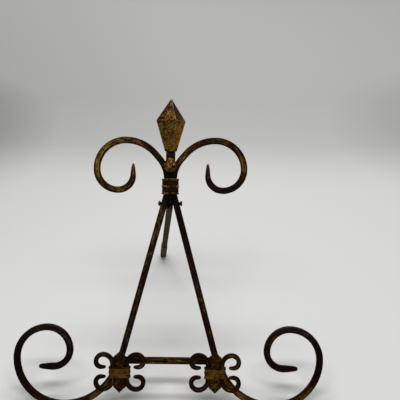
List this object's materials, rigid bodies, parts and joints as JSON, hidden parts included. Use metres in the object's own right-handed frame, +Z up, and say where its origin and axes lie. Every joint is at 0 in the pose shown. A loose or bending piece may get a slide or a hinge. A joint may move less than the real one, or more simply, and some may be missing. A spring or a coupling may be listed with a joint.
{
  "type": "display easel",
  "caption": "Table-top display easel of scrolled square bar, with a spear finial, lily ornaments in front of ledge pegs and a hinged back leg that folds flat.",
  "frame": {"origin": "on the table, under the middle of the open easel", "axes": "+X to the right of someone facing the easel, +Y from the front to the back leg, +Z up"},
  "size_m": [0.307, 0.2498, 0.254],
  "materials": {
    "leg_bronze": "dark bronze paint, rubbed with gold towards the upper scrolls",
    "dark_bronze": "dark bronze paint with rubbed edges",
    "rubbed_bronze": "dark bronze paint, rubbed with gold",
    "antique_gold": "antique gold paint brushed over dark bronze",
    "foot_sleeve": "matt dipped sleeve"
  },
  "bodies": {
    "frame": {"left_leg": "leg_bronze", "right_leg": "leg_bronze", "crossbar": "dark_bronze", "top_collar": "antique_gold", "finial": "antique_gold", "finial_stem": "dark_bronze", "collar_leaf": "antique_gold", "hinge_pin": "antique_gold", "hinge_pin_cap": "dark_bronze", "left_ledge_peg": "dark_bronze", "right_ledge_peg": "dark_bronze", "left_leaf": "rubbed_bronze", "left_inner_scroll": "dark_bronze", "left_outer_scroll": "dark_bronze", "left_band": "antique_gold", "right_leaf": "rubbed_bronze", "right_inner_scroll": "dark_bronze", "right_outer_scroll": "dark_bronze", "right_band": "antique_gold"},
    "prop": {"back_leg": "dark_bronze", "foot_sleeve": "foot_sleeve"}
  },
  "joints": [
    {"name": "back_leg_hinge", "type": "hinge", "parent": "frame", "child": "prop", "pos_m": [0, -0.00095, 0.1683], "axis": [-1, 0, 0], "range_deg": [0, 69]}
  ]
}
